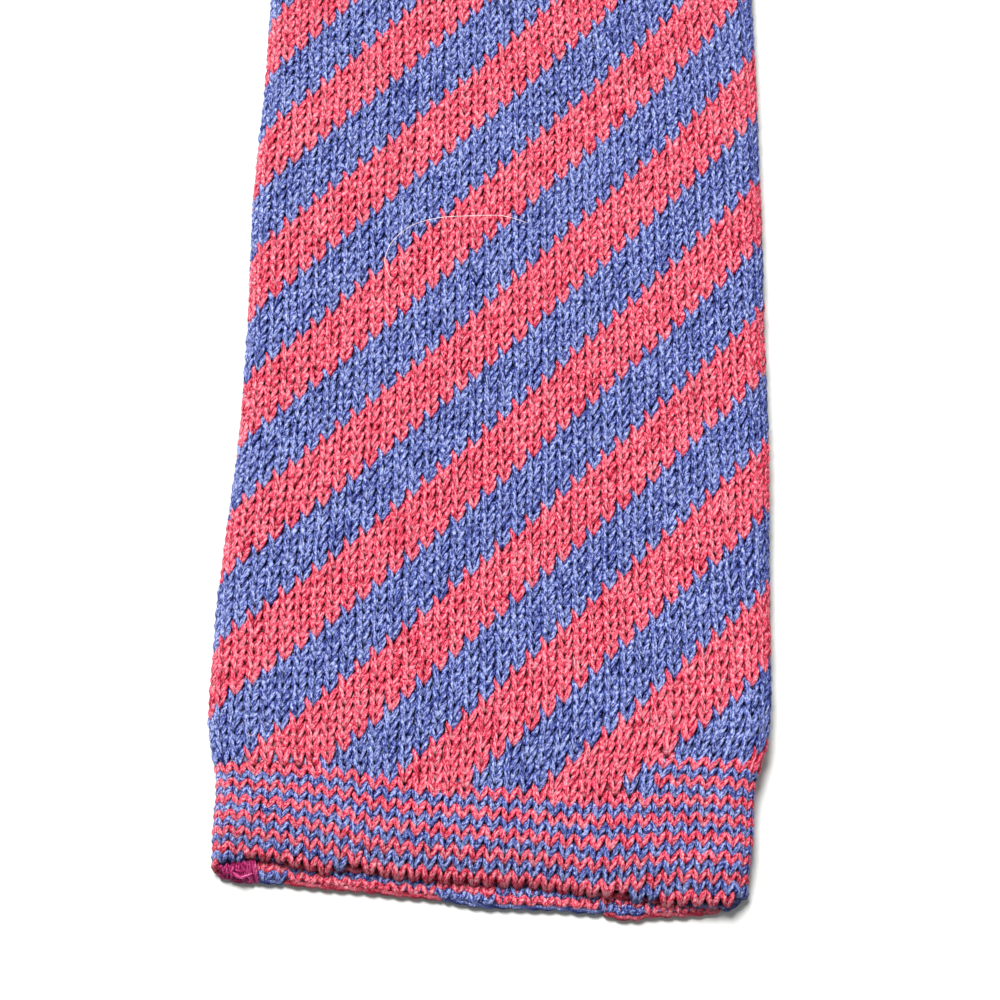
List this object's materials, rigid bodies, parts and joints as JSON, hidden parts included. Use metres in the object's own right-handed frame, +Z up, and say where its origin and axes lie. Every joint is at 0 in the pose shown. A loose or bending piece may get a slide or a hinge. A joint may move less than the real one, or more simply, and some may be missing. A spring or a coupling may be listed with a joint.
{
  "type": "knit tie",
  "caption": "Flat tubular knitted tie, laid out and folded once at the neck, with a straight striped band across each end.",
  "frame": {"origin": "on the flat underside of the wide blade, on its centre line, 60 mm from the wide end's edge", "axes": "+Y along the blade from its wide end towards the fold, +Z up from the surface that it lies on, +X to the side where the tail lies"},
  "size_m": [0.1333, 0.8014, 0.0138],
  "materials": {
    "knit_ground": "soft matt knitted wool, shaded between the stitches",
    "red_yarn": "soft matt two-ply wool yarn, raspberry red",
    "blue_yarn": "soft matt two-ply wool yarn, periwinkle blue",
    "sewing_thread": "fine twisted sewing thread, magenta"
  },
  "bodies": {
    "root": {"knit_tube": "knit_ground", "wide_end_band": "red_yarn", "tail_end_band": "blue_yarn", "corner_stitch": "sewing_thread"}
  },
  "joints": []
}
